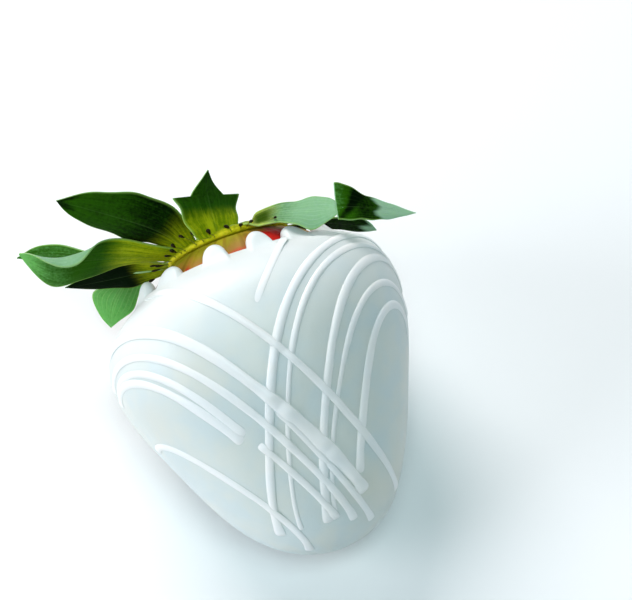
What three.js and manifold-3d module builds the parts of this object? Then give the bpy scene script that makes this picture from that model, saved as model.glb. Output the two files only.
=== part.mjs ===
// A strawberry dipped in white chocolate and drizzled with more of it.
//
// Millimetres, +Z up. The dipped berry lies on its flank, on a small flat at the
// origin, with its tip towards -Y and its leaves towards +Y.
//
// Everything is first laid out in the fruit's own frame: x across, y along the
// core from the tip to the stalk, z out of the flank that faces up. Bearings turn
// about the core, from +x (0 degrees) to +z (90 degrees).

import * as THREE from 'three';
import { mergeVertices } from 'three/addons/utils/BufferGeometryUtils.js';
import Module from 'manifold-3d';

// The dipped berry.
const LENGTH = 43.7; // tip to crown
const TIP_Y = -23.1; // where the tip lies on the core
const GIRTH = [19.85, -3.65, 1.18, 0.23]; // half-width, as a sine series along the core
const FLATNESS = 0.87; // depth over width
const SQUARENESS = 2.2; // 2 is an ellipse
const TIP_BEND = 1.0; // the tip leans to +x
const TIP_BEND_REACH = 29;
const SHOULDER_LEAN = 2.1; // the +x shoulder stands higher than the other
const SHOULDER_START = 25;
const SHOULDER_REACH = 15;
const SHOULDER_WIDTH = 21;

// How it lies.
const PITCH = 20; // the core rises this many degrees towards the stalk
const CORE_Y = -1.5; // the fruit frame's origin, from the flat
const CORE_Z = 15.3;

// The white chocolate shell.
const SHELL = 1.2; // thickness
const GAP = 0.3; // between neighbouring pieces
const RIM_TURN = 151.7; // degrees along the profile, 0 at the tip and 180 at the crown
const LOBES = 14; // pearls of chocolate along the rim
const LOBE_START = 103; // bearing of the first one
const LOBE_SHIFTS = [2, 5.5, 3.5, -4, -4, 3, -3, 2, 0, -3, 4, 0, 6, 2.5]; // degrees off their even places
const LOBE_SIZE = [1.9, 1.6, 1.4]; // half-sizes: round the rim, along the core, outwards

// The bare neck and the green crown.
const NECK_RADIUS = 8.6;
const NECK_TOP = 20.3;
const HUB = { radius: 8.7, under: 20.6, rim: 21.1, dome: 22.4, stalk: 1.5, stalkTop: 26.5 };
const RING = { x: 0.5, y: 21.0, radius: 7.6 }; // where the sepals spring from
const SEPAL_THICKNESS = 0.5;

// Drizzle. Each strand is the cut of the dipped surface by a plane: its normal, its
// distance from the fruit frame's origin, and the arc it covers, in degrees from the
// point that faces up. It was piped in two directions.
const STRAND_SINK = 0.25; // the strand's centre below the surface
const DRIZZLE = [
  { normal: [0.75, -0.66, 0.06], at: -6.1, from: -54, to: -10, radius: 0.5 },
  { normal: [0.65, -0.49, 0.58], at: 8.1, from: -108, to: 90, radius: 0.62 },
  { normal: [0.62, -0.46, 0.64], at: 10.7, from: -112, to: 92, radius: 0.5 },
  { normal: [0.71, -0.46, 0.54], at: 12.7, from: -108, to: 89, radius: 0.62 },
  { normal: [0.66, -0.48, 0.58], at: 14.2, from: -108, to: 92, radius: 0.5 },
  { normal: [0.71, -0.45, 0.54], at: 15.9, from: -112, to: 82, radius: 0.62 },
  { normal: [0.78, 0.57, -0.25], at: -3.3, from: -72, to: 84, radius: 0.55 },
  { normal: [0.75, 0.59, -0.29], at: -8.9, from: -100, to: 71, radius: 0.8 },
  { normal: [0.85, 0.51, -0.1], at: -6.6, from: 8, to: 80, radius: 0.5 },
  { normal: [0.75, 0.58, -0.33], at: -11.8, from: -104, to: 82, radius: 0.55 },
  { normal: [0.78, 0.55, -0.3], at: -13.5, from: -102, to: 8, radius: 0.5 },
  { normal: [0.78, 0.58, -0.23], at: -13.4, from: -102, to: 8, radius: 0.55 },
  { normal: [0.75, 0.59, -0.3], at: -13.4, from: 11, to: 78, radius: 0.5 },
  { normal: [0.8, 0.6, -0.1], at: -16.1, from: -100, to: 89, radius: 0.55 },
];

// Sepals. Degrees and millimetres; a list is read from the root to the tip.
// lift is the rise above the ring's plane, sweep the turn away from the bearing,
// roll the twist about the midrib and cup the bend of each half across it.
// A hem curls one margin over, a flap is a tooth on one margin, and a step is a pair
// of teeth: where they are, and the width left above them. A root is given only for
// the part of a folded sepal beyond its crease.
const SEPALS = [
  { bearing: 143, length: 20, width: 9, base: 0.35, peak: 0.41, blunt: 2.5,
    lift: [35, 29, 27], sweep: [-12, 17, 20], roll: [8, -20, -20], cup: [0.3, 0.5, 0] },
  { bearing: 168, length: 21.7, width: 8.3, base: 0.62, peak: 0.65,
    lift: [19, 15.5, 7.5, 44], sweep: [-1, 9, -2, 15], roll: [4, -13, -33, -27], cup: [0.44, 0.41, 0.2],
    hem: { at: 0.74, spread: 0.2, curl: -2.4, side: -1 },
    flap: { at: 0.74, spread: 0.2, size: 0.3, side: 1 } },
  { bearing: 192, length: 22.5, width: 6.3, base: 0.35, peak: 0.7,
    lift: [22, 27, 18], sweep: [5, 2], roll: [-1, -18], cup: [0, 0.37] },
  { bearing: 202, length: 16.5, width: 5, base: 0.35, peak: 0.46,
    lift: [13, 10, 12], sweep: [-1, 0, -5], roll: [-13, -32, -25], cup: [0, 0.1] },
  { bearing: 218, length: 17.7, width: 8.4, base: 0.35, peak: 0.45, blunt: 3,
    lift: [16, 20, -31, -65], sweep: [-7, 6, 7], roll: [3, 7, -63], cup: [0, 0.1] },
  { bearing: 256, length: 13, width: 7, base: 0.5, peak: 0.4,
    lift: [30, 20, 5], sweep: [0, 8], roll: [10, -10], cup: [0.1, 0.3] },
  { bearing: 292, length: 14, width: 7.5, base: 0.5, peak: 0.4,
    lift: [15, 12, 35], sweep: [0, -8], roll: [0, 15], cup: [0.1, 0.3] },
  { bearing: 328, length: 14, width: 7, base: 0.5, peak: 0.4,
    lift: [20, 0, -22], sweep: [0, 6], roll: [-10, 10], cup: [0.1, 0.3] },
  { bearing: 357, length: 13.9, width: 4.2, base: 0.35, peak: 0.7,
    lift: [0, -18, -30], sweep: [-1, 0, -9], roll: [-13, 7, 4, 25], cup: [0, 0.1] },
  { bearing: 75, length: 13.9, width: 4.9, base: 0.59, peak: 0.66,
    lift: [8, -17, -20], sweep: [-55, -49, -41], roll: [-42, -44, -73], cup: [0.34, -0.22],
    flap: { at: 0.68, spread: 0.2, size: 0.28, side: 1 } },
  { root: [13.6, 18.6, 13.4], bearing: -11, length: 11.8, width: 3.8, base: 0.95, peak: 0.34, blunt: 1.4,
    lift: [-13, -17, -18], sweep: [0, -14, 0], roll: [90, 100, 92], cup: [-0.2, 0.1],
    flap: { at: 0.05, spread: 0.2, size: 0.8, side: 1 } },
  { bearing: 105, length: 9.2, width: 13.1, base: 0.5, peak: 0.48,
    lift: [90, 82, 52], sweep: [-45, -59], roll: [-5, -3], cup: [0.14, 0.03],
    step: { at: 0.62, notch: 0.5 } },
];
const SEPAL_ROOT = 0.14; // the share of its length in which a sepal takes up its roll

// How finely the pieces are divided.
const COAT_SIDES = 36;
const COAT_ROWS = 20;
const BERRY_SIDES = 28;
const BERRY_ROWS = 14;
const NECK_ROWS = 3;
const STRAND_SIDES = 5;
const STRAND_STEP = 3;
const SEPAL_ROWS = 9;
const SEPAL_COLUMNS = 4;
const HUB_SIDES = 20;

const DEG = Math.PI / 180;
const wasm = await Module();
wasm.setup();

const clamp = THREE.MathUtils.clamp;

// Reads a short list of values as a smooth curve, at 0 its first and at 1 its last.
function along(values, at) {
  const place = clamp(at, 0, 1) * (values.length - 1);
  const step = Math.min(Math.floor(place), values.length - 2);
  if (step < 0) return values[0];
  const share = THREE.MathUtils.smoothstep(place - step, 0, 1);
  return THREE.MathUtils.lerp(values[step], values[step + 1], share);
}

// ---- Solids ------------------------------------------------------------------

const toPart = new THREE.Matrix4().makeRotationX(PITCH * DEG).setPosition(0, CORE_Y, CORE_Z);

// A closed mesh of points and triangles, turned so that its faces point out.
function solidOf(points, triangles) {
  const volume = triangles.reduce((sum, [a, b, c]) => {
    return sum + points[a].dot(new THREE.Vector3().crossVectors(points[b], points[c]));
  }, 0);
  const faces = volume > 0 ? triangles : triangles.map(([a, b, c]) => [a, c, b]);
  return new wasm.Manifold(new wasm.Mesh({
    numProp: 3,
    vertProperties: new Float32Array(points.flatMap((point) => point.toArray())),
    triVerts: new Uint32Array(faces.flat()),
  }));
}

// A three.js geometry as a solid.
function solidFrom(geometry) {
  const bare = geometry.clone();
  bare.deleteAttribute('normal');
  bare.deleteAttribute('uv');
  const merged = mergeVertices(bare, 1e-4);
  const position = merged.getAttribute('position');
  const points = [];
  for (let i = 0; i < position.count; i += 1) {
    points.push(new THREE.Vector3().fromBufferAttribute(position, i));
  }
  const index = merged.index.array;
  const triangles = [];
  for (let i = 0; i < index.length; i += 3) {
    triangles.push([index[i], index[i + 1], index[i + 2]]);
  }
  return solidOf(points, triangles);
}

// Skins a stack of rings, all with the same count of points, and closes both ends
// with a fan to a point.
function loft(rings, first, last) {
  const sides = rings[0].length;
  const points = [first, ...rings.flat(), last];
  const end = points.length - 1;
  const at = (ring, side) => 1 + ring * sides + (side % sides);
  const triangles = [];
  for (let side = 0; side < sides; side += 1) {
    triangles.push([0, at(0, side + 1), at(0, side)]);
    triangles.push([end, at(rings.length - 1, side), at(rings.length - 1, side + 1)]);
    for (let ring = 0; ring < rings.length - 1; ring += 1) {
      const [a, b] = [at(ring, side), at(ring, side + 1)];
      const [c, d] = [at(ring + 1, side), at(ring + 1, side + 1)];
      triangles.push([a, b, d], [a, d, c]);
    }
  }
  return solidOf(points, triangles);
}

// A named mesh from a solid in the part's frame.
function piece(name, solid, color, roughness) {
  const { vertProperties, triVerts } = solid.getMesh();
  const geometry = new THREE.BufferGeometry();
  geometry.setAttribute('position', new THREE.BufferAttribute(new Float32Array(vertProperties), 3));
  geometry.setIndex(new THREE.BufferAttribute(new Uint32Array(triVerts), 1));
  geometry.computeVertexNormals();
  const material = new THREE.MeshStandardMaterial({ color, roughness, metalness: 0 });
  const mesh = new THREE.Mesh(geometry, material);
  mesh.name = name;
  return mesh;
}

// ---- The dipped surface --------------------------------------------------------

// Half-width of the dipped berry at a turn along its profile, 0 at the tip and pi at the crown.
function halfWidth(turn) {
  return GIRTH.reduce((sum, size, k) => sum + size * Math.sin((k + 1) * turn), 0);
}

function leanAt(height) {
  return SHOULDER_LEAN * clamp((height - SHOULDER_START) / SHOULDER_REACH, 0, 1) ** 2;
}

function bendAt(height) {
  return TIP_BEND * clamp(1 - height / TIP_BEND_REACH, 0, 1) ** 2;
}

function skinPoint(turn, bearing) {
  const height = LENGTH * (1 - Math.cos(turn)) / 2;
  const [c, s] = [Math.cos(bearing), Math.sin(bearing)];
  const roundness = (Math.abs(c) ** SQUARENESS + Math.abs(s) ** SQUARENESS) ** (-1 / SQUARENESS);
  const reach = halfWidth(turn) * roundness;
  const x = reach * c;
  const lean = leanAt(height) * (x / SHOULDER_WIDTH) ** 3;
  return new THREE.Vector3(x + bendAt(height), TIP_Y + height + lean, reach * s * FLATNESS);
}

// The dipped surface moved inwards by a depth.
function insetPoint(turn, bearing, depth) {
  const nudge = 0.01;
  const point = skinPoint(turn, bearing);
  const up = skinPoint(turn + nudge, bearing).sub(skinPoint(turn - nudge, bearing));
  const round = skinPoint(turn, bearing + nudge).sub(skinPoint(turn, bearing - nudge));
  const outward = up.cross(round).normalize();
  return point.addScaledVector(outward, -depth);
}

// How far a point is outside the dipped surface, across the core; negative inside.
function outside(point) {
  const height = point.y - TIP_Y - leanAt(point.y - TIP_Y) * (point.x / SHOULDER_WIDTH) ** 3;
  const turn = Math.acos(clamp(1 - 2 * height / LENGTH, -1, 1));
  const x = Math.abs(point.x - bendAt(height));
  const z = Math.abs(point.z / FLATNESS);
  return (x ** SQUARENESS + z ** SQUARENESS) ** (1 / SQUARENESS) - halfWidth(turn);
}

function ringAt(turn, depth, sides) {
  return Array.from({ length: sides }, (_, k) => insetPoint(turn, 2 * Math.PI * k / sides, depth));
}

function circle(radius, height, sides) {
  return Array.from({ length: sides }, (_, k) => {
    const bearing = 2 * Math.PI * k / sides;
    return new THREE.Vector3(RING.x + radius * Math.cos(bearing), height, radius * Math.sin(bearing));
  });
}

// ---- Berry ---------------------------------------------------------------------

// The fruit: it fills the shell, then narrows to a bare neck under the leaves.
// grow widens all of it, which makes the room that the shell leaves round it.
function berrySolid(grow) {
  const rimTurn = RIM_TURN * DEG;
  const depth = SHELL + GAP - grow;
  const rings = [];
  for (let row = 1; row <= BERRY_ROWS; row += 1) {
    rings.push(ringAt(rimTurn * row / BERRY_ROWS, depth, BERRY_SIDES));
  }
  const rim = rings.at(-1);
  const top = NECK_TOP + grow;
  const crown = circle(NECK_RADIUS + grow, top, BERRY_SIDES);
  for (let row = 1; row <= NECK_ROWS; row += 1) {
    rings.push(rim.map((point, k) => point.clone().lerp(crown[k], row / NECK_ROWS)));
  }
  const tip = skinPoint(0, 0);
  return loft(rings, tip.setY(tip.y + depth), new THREE.Vector3(RING.x, top, 0));
}

// ---- Coat ----------------------------------------------------------------------

function dippedSolid() {
  const rimTurn = RIM_TURN * DEG;
  const rings = [];
  for (let row = 1; row <= COAT_ROWS; row += 1) {
    rings.push(ringAt(rimTurn * row / COAT_ROWS, 0, COAT_SIDES));
  }
  const top = rings.at(-1)[0].y - SHELL;
  return loft(rings, skinPoint(0, 0), new THREE.Vector3(0, top, 0));
}

// Pearls of chocolate that ran together along the rim.
function lobeSolid(k) {
  const bearing = (LOBE_START + LOBE_SHIFTS[k] + k * 360 / LOBES) * DEG;
  const size = 1 + 0.12 * Math.sin(k * 2.4);
  const seat = insetPoint((RIM_TURN + 0.5) * DEG, bearing, SHELL / 2);
  const pearl = new THREE.IcosahedronGeometry(1, 1);
  pearl.scale(LOBE_SIZE[0] * size, LOBE_SIZE[1] * size, LOBE_SIZE[2] * size);
  pearl.rotateY(Math.PI / 2 - bearing);
  pearl.translate(seat.x, seat.y, seat.z);
  return solidFrom(pearl);
}

// The strand's route: where rays in its plane leave the dipped surface.
function strandRoute({ normal, at, from, to }) {
  const axis = new THREE.Vector3(...normal).normalize();
  const middle = axis.clone().multiplyScalar(at);
  const up = new THREE.Vector3(0, 0, 1).addScaledVector(axis, -axis.z).normalize();
  const side = new THREE.Vector3().crossVectors(axis, up);
  const surfaceAt = (angle) => {
    const ray = up.clone().multiplyScalar(Math.cos(angle)).addScaledVector(side, Math.sin(angle));
    let [near, far] = [0, LENGTH];
    for (let halving = 0; halving < 30; halving += 1) {
      const half = (near + far) / 2;
      if (outside(middle.clone().addScaledVector(ray, half)) < 0) near = half;
      else far = half;
    }
    return middle.clone().addScaledVector(ray, near);
  };
  const fine = Array.from({ length: 81 }, (_, k) => surfaceAt((from + (to - from) * k / 80) * DEG));
  const curve = new THREE.CatmullRomCurve3(fine);
  const steps = Math.max(4, Math.round(curve.getLength() / STRAND_STEP));
  return { axis, points: curve.getSpacedPoints(steps) };
}

function strandSolid(strand) {
  const { axis, points } = strandRoute(strand);
  const rings = points.map((point, k) => {
    const ahead = points[Math.min(k + 1, points.length - 1)].clone();
    const tangent = ahead.sub(points[Math.max(k - 1, 0)]).normalize();
    const across = axis.clone().addScaledVector(tangent, -axis.dot(tangent)).normalize();
    const outward = new THREE.Vector3().crossVectors(across, tangent);
    if (outward.dot(new THREE.Vector3(point.x, 0, point.z)) < 0) outward.negate();
    const edge = Math.min(k, points.length - 1 - k);
    const radius = strand.radius * (edge === 0 ? 0.6 : 1);
    return Array.from({ length: STRAND_SIDES }, (_, side) => {
      const angle = 2 * Math.PI * (side + 0.5) / STRAND_SIDES;
      return point.clone()
        .addScaledVector(across, radius * Math.cos(angle))
        .addScaledVector(outward, radius * Math.sin(angle) - STRAND_SINK);
    });
  });
  return loft(rings, points[0], points.at(-1));
}

function coatSolid(berryRoom) {
  const parts = [dippedSolid()];
  for (let k = 0; k < LOBES; k += 1) parts.push(lobeSolid(k));
  for (const strand of DRIZZLE) parts.push(strandSolid(strand));
  const table = new THREE.BoxGeometry(2 * LENGTH, 2 * LENGTH, LENGTH).translate(0, 0, -LENGTH / 2);
  return wasm.Manifold.union(parts)
    .subtract(berryRoom)
    .transform(toPart.elements)
    .subtract(solidFrom(table));
}

// ---- Calyx ---------------------------------------------------------------------

// Half-width of a sepal over its greatest, on one side of its midrib.
function sepalEdge({ base, peak, step, flap, blunt = 1.8 }, at, side) {
  if (step) {
    if (at < step.at) return base + (1 - base) * (at / step.at) ** 0.8;
    return step.notch * (1 - (at - step.at) / (1 - step.at));
  }
  const onSide = flap && side * flap.side > 0;
  const tooth = onSide ? flap.size * Math.exp(-(((at - flap.at) / flap.spread) ** 2)) : 0;
  if (at < peak) return tooth + base + (1 - base) * Math.sin(Math.PI / 2 * at / peak);
  return tooth + 1 - ((at - peak) / (1 - peak)) ** blunt;
}

// The extra bend of a margin that curls over.
function hemCurl({ hem }, at, side) {
  if (!hem || hem.side !== side) return 0;
  return hem.curl * Math.exp(-(((at - hem.at) / hem.spread) ** 2));
}

// The sepal's middle surface, as rows of points with their normals.
function sepalSheet(sepal) {
  const spots = Array.from({ length: SEPAL_ROWS + 1 }, (_, row) => row / SEPAL_ROWS);
  if (sepal.step) {
    const above = spots.findIndex((at) => at > sepal.step.at);
    spots.splice(above, 0, sepal.step.at - 0.01, sepal.step.at);
  }
  const bearing = sepal.bearing * DEG;
  const onRing = [RING.x + RING.radius * Math.cos(bearing), RING.y, RING.radius * Math.sin(bearing)];
  const midrib = new THREE.Vector3(...(sepal.root ?? onRing));
  let before = null;
  return spots.map((at, row) => {
    const heading = bearing + along(sepal.sweep, at) * DEG;
    const lift = along(sepal.lift, at) * DEG;
    const easing = sepal.root ? 1 : THREE.MathUtils.smoothstep(at, 0, SEPAL_ROOT);
    const roll = along(sepal.roll, at) * easing * DEG;
    const ahead = new THREE.Vector3(
      Math.cos(lift) * Math.cos(heading), Math.sin(lift), Math.cos(lift) * Math.sin(heading));
    const level = new THREE.Vector3(-Math.sin(heading), 0, Math.cos(heading));
    const across = level.clone().applyAxisAngle(ahead, -roll);
    const normal = new THREE.Vector3().crossVectors(across, ahead);
    if (before) {
      const length = (at - spots[row - 1]) * sepal.length;
      midrib.addScaledVector(ahead, length / 2).addScaledVector(before, length / 2);
    }
    before = ahead;
    const points = [];
    for (let column = 0; column <= SEPAL_COLUMNS; column += 1) {
      const v = 2 * column / SEPAL_COLUMNS - 1;
      const side = Math.sign(v) || 1;
      const half = Math.max(sepalEdge(sepal, at, side) * sepal.width / 2, SEPAL_THICKNESS / 4);
      const arc = along(sepal.cup, at) + hemCurl(sepal, at, side) || 1e-4;
      const out = half * Math.sin(arc * v) / arc;
      const rise = half * (1 - Math.cos(arc * v)) / arc;
      points.push({
        point: midrib.clone().addScaledVector(across, out).addScaledVector(normal, rise),
        normal: normal.clone().applyAxisAngle(ahead, arc * v),
      });
    }
    return points;
  });
}

// A sepal as a thin closed sheet, both faces split into triangles alike.
function sepalSolid(sepal) {
  const rows = sepalSheet(sepal);
  const face = (sign) => rows.map((row) => {
    const shift = sign * SEPAL_THICKNESS / 2;
    return row.map(({ point, normal }) => point.clone().addScaledVector(normal, shift));
  });
  const [upper, lower] = [face(1), face(-1)];
  // Each row is one ring: out along the upper face and back along the lower one.
  const rings = rows.map((_, row) => [...upper[row], ...lower[row].reverse()]);
  const middleOf = (ring) => {
    return ring.reduce((sum, point) => sum.add(point), new THREE.Vector3()).divideScalar(ring.length);
  };
  return loft(rings, middleOf(rings[0]), middleOf(rings.at(-1)));
}

// The crown's disc, domed towards a short cut stalk.
function hubSolid() {
  const { radius, under, rim, dome, stalk, stalkTop } = HUB;
  const profile = [
    [0, under], [radius - 0.5, under], [radius, rim], [radius - 0.6, rim + 0.5], [radius * 0.55, dome],
    [stalk * 1.5, dome + 0.7], [stalk, dome + 1.8], [stalk, stalkTop - 0.3], [stalk - 0.3, stalkTop],
    [0, stalkTop],
  ].map(([x, y]) => new THREE.Vector2(x, y));
  return solidFrom(new THREE.LatheGeometry(profile, HUB_SIDES).translate(RING.x, 0, 0));
}

function calyxSolid() {
  return wasm.Manifold.union([hubSolid(), ...SEPALS.map(sepalSolid)]);
}

// ---- The whole -----------------------------------------------------------------

const strawberry = new THREE.Group();
strawberry.add(
  piece('coat', coatSolid(berrySolid(GAP)), '#e9f1f2', 0.35),
  piece('berry', berrySolid(0).transform(toPart.elements), '#c23a22', 0.4),
  piece('calyx', calyxSolid().transform(toPart.elements), '#2f6b17', 0.6),
);

export default strawberry;
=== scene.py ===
"""The looks of a strawberry dipped in white chocolate, lying on its flank.

The fruit's own frame is used for all shapes, in millimetres: x across, y along the
core from the tip to the stalk, z out of the flank that faces up. Bearings turn about
the core, from +x to +z. to_part() takes points to the part's frame, in metres.
"""
import math

import bpy
import numpy as np
from mathutils import Matrix, Vector


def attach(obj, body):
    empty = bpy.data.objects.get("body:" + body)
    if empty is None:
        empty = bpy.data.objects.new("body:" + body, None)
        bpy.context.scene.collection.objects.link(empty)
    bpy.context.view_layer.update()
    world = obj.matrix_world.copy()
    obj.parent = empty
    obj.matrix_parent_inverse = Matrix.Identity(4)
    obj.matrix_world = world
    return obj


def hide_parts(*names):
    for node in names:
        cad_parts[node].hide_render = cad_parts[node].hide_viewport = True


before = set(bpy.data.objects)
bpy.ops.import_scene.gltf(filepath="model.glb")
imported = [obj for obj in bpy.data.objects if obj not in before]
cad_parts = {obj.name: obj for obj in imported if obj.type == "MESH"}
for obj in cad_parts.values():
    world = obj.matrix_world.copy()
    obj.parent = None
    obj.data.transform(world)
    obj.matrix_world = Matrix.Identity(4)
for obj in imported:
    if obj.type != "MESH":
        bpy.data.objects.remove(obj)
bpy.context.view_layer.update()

# ---- Sizes, as in the CAD source ----------------------------------------------------

LENGTH = 43.7
TIP_Y = -23.1
GIRTH = (19.85, -3.65, 1.18, 0.23)
FLATNESS = 0.87
SQUARENESS = 2.2
TIP_BEND, TIP_BEND_REACH = 1.0, 29.0
SHOULDER_LEAN, SHOULDER_START, SHOULDER_REACH, SHOULDER_WIDTH = 2.1, 25.0, 15.0, 21.0
PITCH = math.radians(20)
CORE_Y, CORE_Z = -1.5, 15.3
SHELL, GAP = 1.2, 0.3
RIM_TURN = math.radians(151.7)
LOBES, LOBE_START = 14, math.radians(103)
LOBE_SHIFTS = np.radians([2, 5.5, 3.5, -4, -4, 3, -3, 2, 0, -3, 4, 0, 6, 2.5])
NECK_RADIUS, NECK_TOP = 8.6, 20.3
RING_X, RING_Y, RING_RADIUS = 0.5, 21.0, 7.6
HUB = {"radius": 8.7, "under": 20.6, "rim": 21.1, "dome": 22.4, "stalk": 1.5, "stalk_top": 26.5}

# Plane normal, distance from the fruit's origin, arc from and to in degrees, radius.
# Six strands run down the berry, and the eight that run across it were piped over them.
DRIZZLE = [
    ((0.75, -0.66, 0.06), -6.1, -54, -10, 0.5),
    ((0.65, -0.49, 0.58), 8.1, -108, 90, 0.62),
    ((0.62, -0.46, 0.64), 10.7, -112, 92, 0.5),
    ((0.71, -0.46, 0.54), 12.7, -108, 89, 0.62),
    ((0.66, -0.48, 0.58), 14.2, -108, 92, 0.5),
    ((0.71, -0.45, 0.54), 15.9, -112, 82, 0.62),
    ((0.78, 0.57, -0.25), -3.3, -72, 84, 0.55),
    ((0.75, 0.59, -0.29), -8.9, -100, 71, 0.8),
    ((0.85, 0.51, -0.1), -6.6, 8, 80, 0.5),
    ((0.75, 0.58, -0.33), -11.8, -104, 82, 0.55),
    ((0.78, 0.55, -0.3), -13.5, -102, 8, 0.5),
    ((0.78, 0.58, -0.23), -13.4, -102, 8, 0.55),
    ((0.75, 0.59, -0.3), -13.4, 11, 78, 0.5),
    ((0.8, 0.6, -0.1), -16.1, -100, 89, 0.55),
]

SEPALS = [
    dict(bearing=143, length=20, width=9, base=0.35, peak=0.41, blunt=2.5,
         lift=(35, 29, 27), sweep=(-12, 17, 20), roll=(8, -20, -20), cup=(0.3, 0.5, 0)),
    dict(bearing=168, length=21.7, width=8.3, base=0.62, peak=0.65,
         lift=(19, 15.5, 7.5, 44), sweep=(-1, 9, -2, 15), roll=(4, -13, -33, -27), cup=(0.44, 0.41, 0.2),
         hem=dict(at=0.74, spread=0.2, curl=-2.4, side=-1),
         flap=dict(at=0.74, spread=0.2, size=0.3, side=1)),
    dict(bearing=192, length=22.5, width=6.3, base=0.35, peak=0.7,
         lift=(22, 27, 18), sweep=(5, 2), roll=(-1, -18), cup=(0, 0.37)),
    dict(bearing=202, length=16.5, width=5, base=0.35, peak=0.46,
         lift=(13, 10, 12), sweep=(-1, 0, -5), roll=(-13, -32, -25), cup=(0, 0.1)),
    dict(bearing=218, length=17.7, width=8.4, base=0.35, peak=0.45, blunt=3,
         lift=(16, 20, -31, -65), sweep=(-7, 6, 7), roll=(3, 7, -63), cup=(0, 0.1)),
    dict(bearing=256, length=13, width=7, base=0.5, peak=0.4,
         lift=(30, 20, 5), sweep=(0, 8), roll=(10, -10), cup=(0.1, 0.3)),
    dict(bearing=292, length=14, width=7.5, base=0.5, peak=0.4,
         lift=(15, 12, 35), sweep=(0, -8), roll=(0, 15), cup=(0.1, 0.3)),
    dict(bearing=328, length=14, width=7, base=0.5, peak=0.4,
         lift=(20, 0, -22), sweep=(0, 6), roll=(-10, 10), cup=(0.1, 0.3)),
    dict(bearing=357, length=13.9, width=4.2, base=0.35, peak=0.7,
         lift=(0, -18, -30), sweep=(-1, 0, -9), roll=(-13, 7, 4, 25), cup=(0, 0.1)),
    dict(bearing=75, length=13.9, width=4.9, base=0.59, peak=0.66,
         lift=(8, -17, -20), sweep=(-55, -49, -41), roll=(-42, -44, -73), cup=(0.34, -0.22),
         flap=dict(at=0.68, spread=0.2, size=0.28, side=1)),
    dict(root=(13.6, 18.6, 13.4), bearing=-11,
         length=11.8, width=3.8, base=0.95, peak=0.34, blunt=1.4,
         lift=(-13, -17, -18), sweep=(0, -14, 0), roll=(90, 100, 92), cup=(-0.2, 0.1),
         flap=dict(at=0.05, spread=0.2, size=0.8, side=1)),
    dict(bearing=105, length=9.2, width=13.1, base=0.5, peak=0.48,
         lift=(90, 82, 52), sweep=(-45, -59), roll=(-5, -3), cup=(0.14, 0.03),
         step=dict(at=0.62, notch=0.5)),
]
SEPAL_ROOT = 0.14

# ---- What the solids leave out -----------------------------------------------------------

# The rim: the half width of a lobe in radians, how far up the profile the rim comes
# between lobes and by how much more on one, the height of each pearl and its spread.
LOBE_HALF_WIDTH = 0.123
RIM_BETWEEN, RIM_ON_LOBE = math.radians(-1.5), math.radians(2.6)
PEARL_HEIGHTS = np.array([1.6, 1.1, 1.7, 0.4, 0.6, 1.5, 1.2, 1.4, 1.6, 1.2, 1.5, 1.3, 1.2, 1.7])
PEARL_SPREAD = math.radians(3.8)
RIM_THINNING = 0.45
THINNING_START, THINNING_END = math.radians(134), math.radians(150)

# Drizzle: how many strands run down the berry. The tables are by number of strand.
DOWN_STRANDS = 6
# Over how many mm a strand flattens, at its start and at its end.
USUAL_FADE = (1, 1)
FADES = {0: (2, 6), 6: (14, 1), 7: (5, 1), 10: (1, 2), 11: (1, 2)}
# How high a strand is beside its half width.
USUAL_RELIEF = 0.36
RELIEFS = {0: 0.13}
# How far along a strand its width changes, and its share of the usual width there. Two
# get thinner; strands 7, 10 and 11 spread where they run into their neighbours.
USUAL_WIDTH = ((0,), (1,))
WIDTHS = {
    2: ((34.5, 37.5), (1, 0.64)),
    4: ((21, 27), (1, 0.64)),
    7: ((32, 36, 45, 49), (1, 1.2, 1.2, 1)),
    10: ((14, 20), (1, 1.25)),
    11: ((14, 20), (1, 1.3)),
}
FOOT_DEPTH = 0.25  # how far its underside is in the shell
CROSSING_RISE = 0.25  # how much it rises over another, beside its half width

RIPE_SIDE = math.radians(62)  # where the neck is red right up to the leaves
RIBS, RIB_HEIGHT = 22, 0.12  # on the hub
STAMENS, THREAD_RADIUS, ANTHER_FLATNESS = 34, 0.07, 0.7

# A sepal: its thickness at the tip, how much thicker its root and how much thinner its
# margins are, and where its veins run, from the midrib at 0 to a margin at 1.
TIP_THICK, ROOT_THICKER, MARGIN_THINNER = 0.2, 0.16, 0.1
VEIN_PLACES = (0.25, 0.48, 0.7)

# For each sepal, in the same order: how light its waxy side is from root to tip, how
# far up it the yellow-green of the crown reaches, how dark or, below 0, how pale its
# tip dries and from where, and how clearly its veins show. The yellow-green is partly
# the sepals' own colour and partly painted light, the glow of light through the thin roots.
SEPAL_TONES = [
    ((0.05, 0.1, 0.3, 0.42), 0.16, 0.95, 0.9, 0.02),
    # The second sepal's root is set lighter still: painted light against the shade that falls on it.
    ((0.9, 0.66, 0.36, 0.66, 0.95), 0.36, 0, 1, 0.05),
    ((0.5, 0.62), 0.3, 0, 1, 0.1),
    # The fourth sepal's near-black middle is painted shade: it lies in the shadow under the second.
    ((0.55, 0.2, -0.15, -0.15, 0.05), 0.3, 0, 1, 0.0),
    ((0.8, 0.95), 0, 0, 1, 1),
    ((0.5, 0.4), 0.3, 0, 1, 0.3),
    ((0.5, 0.5), 0.3, 0.3, 0.8, 0.3),
    ((0.5, 0.4), 0.3, 0, 1, 0.3),
    ((0.1, 0.14), 0, -0.9, 0.86, 0.02),
    ((0.3, 0.2, 0.55, 0.7), 0.25, 0, 1, 0.4),
    ((0.65, 0.12, 0.4, 0.3), 0, -1, 0.5, 0.04),
    ((0.58, 0.45, 0.28, 0.24), 0.34, 0.1, 0.9, 0.04),
]
HUMP = 9  # the sepal whose root humps up, dark green on both sides

# ---- Small helpers -------------------------------------------------------------------


def smoothstep(low, high, x):
    x = np.clip((np.asarray(x, float) - low) / (high - low), 0, 1)
    return x * x * (3 - 2 * x)


def bell(x, middle, spread):
    return np.exp(-(((x - middle) / spread) ** 2))


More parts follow.
